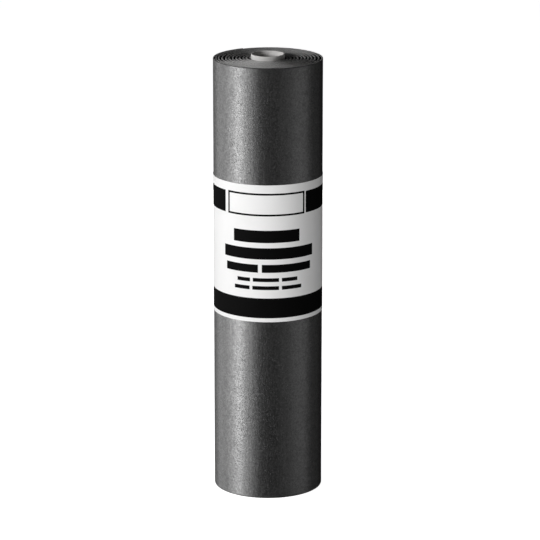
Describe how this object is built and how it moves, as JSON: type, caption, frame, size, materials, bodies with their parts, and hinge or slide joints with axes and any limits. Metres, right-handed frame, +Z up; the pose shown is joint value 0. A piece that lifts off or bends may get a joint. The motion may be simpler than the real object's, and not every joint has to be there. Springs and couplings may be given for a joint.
{
  "type": "roll of roofing felt",
  "caption": "Standing roll of mineral-surfaced roofing felt, wound on a board tube and held closed by a paper band; it is unrolled to cover a roof.",
  "frame": {"origin": "centre of the end that the roll stands on", "axes": "+Z up along the roll's axis; -Y towards the front of the paper band; the band's glued lap is at +Y"},
  "size_m": [0.2266, 0.2269, 0.922],
  "materials": {
    "felt": "bituminous felt faced with fine charcoal mineral granules",
    "core_board": "matt spiral-wound paperboard",
    "label_paper": "smooth white paper with plain black printed bars"
  },
  "bodies": {
    "root": {"felt_roll": "felt", "core_tube": "core_board", "label_band": "label_paper"}
  },
  "joints": []
}
